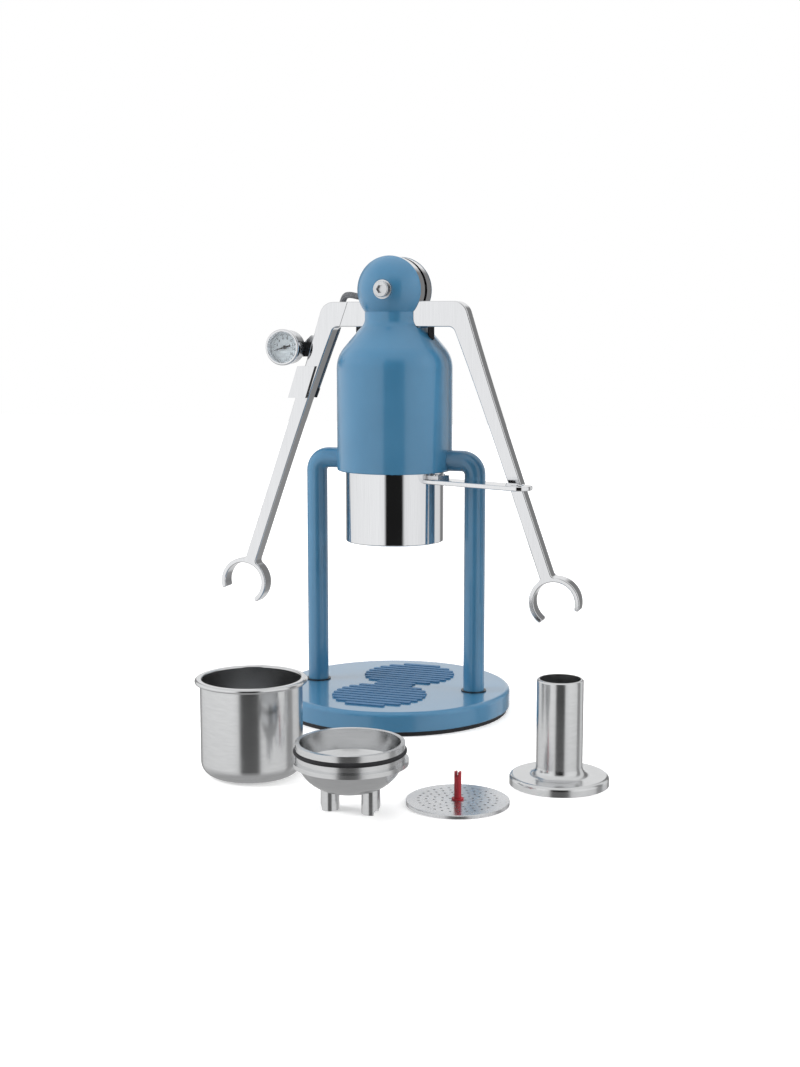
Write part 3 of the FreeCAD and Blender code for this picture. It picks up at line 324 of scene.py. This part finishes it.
def braidedHose():
    look = hoseLook
    points = [Vector(p) * mm for p in look["route"]]
    spine = routeSamples(points, look["bend"], look["step"] * mm)
    sideways = (spine[1] - spine[0]).orthogonal().normalized()
    frames = []
    length = 0
    for i, point in enumerate(spine):
        ahead = (spine[min(i + 1, len(spine) - 1)] - spine[max(i - 1, 0)]).normalized()
        sideways = (sideways - ahead * sideways.dot(ahead)).normalized()
        if i:
            length += (point - spine[i - 1]).length
        frames.append((point, sideways.copy(), ahead.cross(sideways), length))
    curve = addCurve("hoseBraid", look["wire"] * mm, 2)
    centreRadius = (look["radius"] - look["wire"] - look["weave"]) * mm
    for hand in (-1, 1):
        for strand in range(look["strands"]):
            places = []
            for point, across, up, run in frames:
                angle = hand * (2 * math.pi * (strand / look["strands"] + run / (look["pitch"] * mm)))
                crossing = look["strands"] * angle * hand
                radius = centreRadius + hand * look["weave"] * mm * math.sin(crossing)
                places.append(point + across * (math.cos(angle) * radius) + up * (math.sin(angle) * radius))
            addLine(curve, places)
    braid = addPiece("hose_braid", curve, "steel_braid")
    coreRadius = (look["radius"] - 2 * look["wire"] - look["weave"] + look["coreOverlap"]) * mm
    core = addCurve("hoseCore", coreRadius, 6)
    addLine(core, [entry[0] for entry in frames])
    addPiece("hose_core", core, "dark_steel")
    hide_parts("pressure_hose")


braidedHose()
print("hose braided")


# dial marks
dialLook = {
    "majorTicks": 9, "minorPer": 4, "perMajor": 2, "start": 196, "sweep": 240,
    "tickOuter": 9.4, "majorLong": 1.9, "minorLong": 1.0, "majorHalf": 0.16, "minorHalf": 0.09,
    "numberRadius": 6.2, "numberSize": 2.3, "lift": 0.06,
}


def onDial(share):
    angle = math.radians(dialLook["start"] - dialLook["sweep"] * share)
    return Vector((math.cos(angle), 0, math.sin(angle)))


def dialTicks(base):
    look = dialLook
    mesh = bmesh.new()
    steps = (look["majorTicks"] - 1) * look["minorPer"]
    for i in range(steps + 1):
        size = "minor" if i % look["minorPer"] else "major"
        along = onDial(i / steps)
        side = Vector((-along.z, 0, along.x)) * look[size + "Half"] * mm
        outer = base + along * look["tickOuter"] * mm
        inner = outer - along * look[size + "Long"] * mm
        corners = (inner - side, outer - side, outer + side, inner + side)
        front = mesh.faces.new([mesh.verts.new(corner) for corner in corners])
        extruded = bmesh.ops.extrude_face_region(mesh, geom=[front])
        moved = [v for v in extruded["geom"] if isinstance(v, bmesh.types.BMVert)]
        bmesh.ops.translate(mesh, verts=moved, vec=(0, look["lift"] * mm, 0))
    bmesh.ops.recalc_face_normals(mesh, faces=mesh.faces)
    data = bpy.data.meshes.new("dialTicks")
    mesh.to_mesh(data)
    mesh.free()
    addPiece("dial_ticks", data, "needle_black")


def dialNumber(base, i):
    look = dialLook
    text = bpy.data.curves.new("dialNumber", "FONT")
    text.body = str(i * look["perMajor"])
    text.size = look["numberSize"] * mm
    text.align_x = "CENTER"
    text.align_y = "CENTER"
    text.extrude = look["lift"] / 2 * mm
    place = base + onDial(i / (look["majorTicks"] - 1)) * look["numberRadius"] * mm
    addPiece("dial_number_%d" % i, text, "needle_black", place, (math.pi / 2, 0, 0))


def dialMarks():
    low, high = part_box("gauge_dial")
    base = Vector(((low.x + high.x) / 2, low.y - dialLook["lift"] * mm, (low.z + high.z) / 2))
    dialTicks(base)
    for i in range(dialLook["majorTicks"]):
        dialNumber(base, i)


dialMarks()
print("dial marked")


# studio
studio = {
    "floorSize": 6.0, "floorShade": 0.86, "floorLightShade": 0.87,
    "floorGlow": 0.36, "farGlow": 0.95, "glowFrom": 0.5, "glowTo": 1.6,
    "worldStrength": 0.40,
}
lampLooks = {
    "keyLamp": {"place": (-1.3, -0.75, 1.0), "target": (0, 0, 0.15), "size": (0.9, 0.9), "power": 24},
    "fillLamp": {"place": (1.5, -0.1, 0.8), "target": (0, 0, 0.15), "size": (0.8, 1.0), "power": 16},
    "topLamp": {"place": (0, 0.3, 1.5), "target": (0, 0, 0.1), "size": (1.2, 1.2), "power": 10},
}


def grey(level):
    return (level, level, level, 1)


def addStageMesh(name, build, material):
    mesh = bmesh.new()
    build(mesh)
    data = bpy.data.meshes.new(name)
    mesh.to_mesh(data)
    mesh.free()
    piece = bpy.data.objects.new(name, data)
    bpy.context.scene.collection.objects.link(piece)
    piece.data.materials.append(material)
    return piece


def addMath(tree, operation, first, second):
    node = tree.nodes.new("ShaderNodeMath")
    node.operation = operation
    for socket, value in zip(node.inputs, (first, second)):
        if isinstance(value, (int, float)):
            socket.default_value = value
        else:
            tree.links.new(value, socket)
    return node.outputs[0]


def floorLook():
    # white to the viewer, and whiter still far off, so no horizon shows
    material, tree, shader, place = startMaterial("floorSweep")
    cloud = addNoise(tree, place, 2, 2)
    tint = addTint(tree, cloud, grey(studio["floorShade"]), grey(studio["floorLightShade"]))
    tree.links.new(tint, shader.inputs["Base Color"])
    shader.inputs["Roughness"].default_value = 0.9
    shader.inputs["Specular IOR Level"].default_value = 0
    shader.inputs["Emission Color"].default_value = (1, 1, 1, 1)
    distance = tree.nodes.new("ShaderNodeVectorMath")
    distance.operation = "LENGTH"
    tree.links.new(place, distance.inputs[0])
    reach = (studio["glowFrom"], studio["glowTo"])
    glow = addRange(tree, distance.outputs["Value"], studio["floorGlow"], studio["farGlow"], *reach)
    rays = tree.nodes.new("ShaderNodeLightPath")
    seen = addMath(tree, "MULTIPLY", rays.outputs["Is Camera Ray"], glow)
    tree.links.new(seen, shader.inputs["Emission Strength"])
    return material


def floorPlane():
    def grid(mesh):
        bmesh.ops.create_grid(mesh, x_segments=8, y_segments=8, size=studio["floorSize"] / 2)
    floor = addStageMesh("studio_floor", grid, floorLook())
    floor.location = (0, 0, -0.0002)
    floor.visible_glossy = False  # metal mirrors the dome instead


def whiteWorld():
    world = bpy.data.worlds.new("studioWorld")
    bpy.context.scene.world = world
    world.use_nodes = True
    tree = world.node_tree
    background = tree.nodes["Background"]
    background.inputs["Color"].default_value = (1, 1, 1, 1)
    rays = tree.nodes.new("ShaderNodeLightPath")
    seen = addMath(tree, "MAXIMUM", rays.outputs["Is Camera Ray"], rays.outputs["Is Transmission Ray"])
    lifted = addMath(tree, "MULTIPLY", seen, 1 - studio["worldStrength"])
    total = addMath(tree, "ADD", lifted, studio["worldStrength"])
    tree.links.new(total, background.inputs["Strength"])


# what polished metal mirrors: a dome of soft panels all round, seen by metal only
mirrorDome = {
    "radius": 2.5, "around": 64, "upwards": 32,
    "bands": [  # (degrees from straight in front towards the right, brightness)
        (-90, 0.92), (-60, 0.95), (-20, 0.97), (-6, 0.90), (0, 0.012), (36, 0.012), (42, 0.85),
        (60, 0.92), (100, 0.85), (107, 0.28), (122, 0.28), (129, 0.80), (150, 0.75), (156, 0.22),
        (172, 0.22), (180, 0.85), (212, 0.88), (220, 0.26), (236, 0.26), (244, 0.80), (252, 0.85),
        (270, 0.92),
    ],
    "sky": 0.82, "skyFrom": 0.45, "skyTo": 0.75, "ground": 0.42, "groundFrom": -0.10, "groundTo": -0.70,
}


def addBlend(tree, share, first, second):
    node = tree.nodes.new("ShaderNodeMix")
    node.data_type = "RGBA"
    tree.links.new(share, node.inputs[0])
    tree.links.new(first, node.inputs[6])
    node.inputs[7].default_value = grey(second)
    return node.outputs[2]


def domeLook():
    look = mirrorDome
    material, tree, shader, place = startMaterial("mirrorPanels")
    tree.nodes.remove(shader)
    around = tree.nodes.new("ShaderNodeTexGradient")
    around.gradient_type = "RADIAL"
    tree.links.new(place, around.inputs["Vector"])
    ramp = tree.nodes.new("ShaderNodeValToRGB")
    stops = ramp.color_ramp.elements
    for i, (degrees, level) in enumerate(look["bands"]):
        spot = degrees / 360 + 0.25
        stop = stops[i] if i < 2 else stops.new(spot)
        stop.position = spot
        stop.color = grey(level)
    tree.links.new(around.outputs["Fac"], ramp.inputs["Fac"])
    split = tree.nodes.new("ShaderNodeSeparateXYZ")
    tree.links.new(place, split.inputs[0])
    height = addMath(tree, "DIVIDE", split.outputs["Z"], look["radius"])
    upper = addRange(tree, height, 0, 1, look["skyFrom"], look["skyTo"])
    lower = addRange(tree, height, 0, 1, look["groundFrom"], look["groundTo"])
    banded = addBlend(tree, upper, ramp.outputs["Color"], look["sky"])
    glow = tree.nodes.new("ShaderNodeEmission")
    tree.links.new(addBlend(tree, lower, banded, look["ground"]), glow.inputs["Color"])
    tree.links.new(glow.outputs["Emission"], tree.nodes["Material Output"].inputs["Surface"])
    return material


def mirrorPanels():
    look = mirrorDome

    def ball(mesh):
        counts = {"u_segments": look["around"], "v_segments": look["upwards"]}
        bmesh.ops.create_uvsphere(mesh, radius=look["radius"], **counts)
    dome = addStageMesh("mirror_dome", ball, domeLook())
    dome.visible_camera = False
    dome.visible_diffuse = False
    dome.visible_shadow = False
    dome.visible_transmission = False


def softLamp(name, place, target, size, power):
    lamp = bpy.data.lights.new(name, "AREA")
    lamp.shape = "RECTANGLE"
    lamp.size, lamp.size_y = size
    lamp.energy = power
    holder = bpy.data.objects.new(name, lamp)
    holder.location = place
    holder.rotation_euler = (Vector(target) - Vector(place)).to_track_quat("-Z", "Y").to_euler()
    holder.visible_glossy = False  # metal mirrors the dome instead
    bpy.context.scene.collection.objects.link(holder)


floorPlane()
whiteWorld()
mirrorPanels()
for lampName, lampLook in lampLooks.items():
    softLamp(lampName, **lampLook)
print("studio lit")


# camera
cameraLook = {
    "place": (0.340947, -0.981078, 0.263022), "pitch": 0.1346, "heading": 0.3310,
    "focalPixels": 1521.57, "imageWidth": 800, "sensor": 36, "farthest": 20,
}


def photoCamera():
    look = cameraLook
    data = bpy.data.cameras.new("studioCamera")
    data.sensor_fit = "HORIZONTAL"
    data.sensor_width = look["sensor"]
    data.lens = look["sensor"] * look["focalPixels"] / look["imageWidth"]
    data.clip_end = look["farthest"]
    camera = bpy.data.objects.new("studioCamera", data)
    camera.location = look["place"]
    camera.rotation_euler = (math.pi / 2 - look["pitch"], 0, look["heading"])
    bpy.context.scene.collection.objects.link(camera)
    bpy.context.scene.camera = camera


photoCamera()
bpy.context.scene.view_settings.view_transform = "Standard"
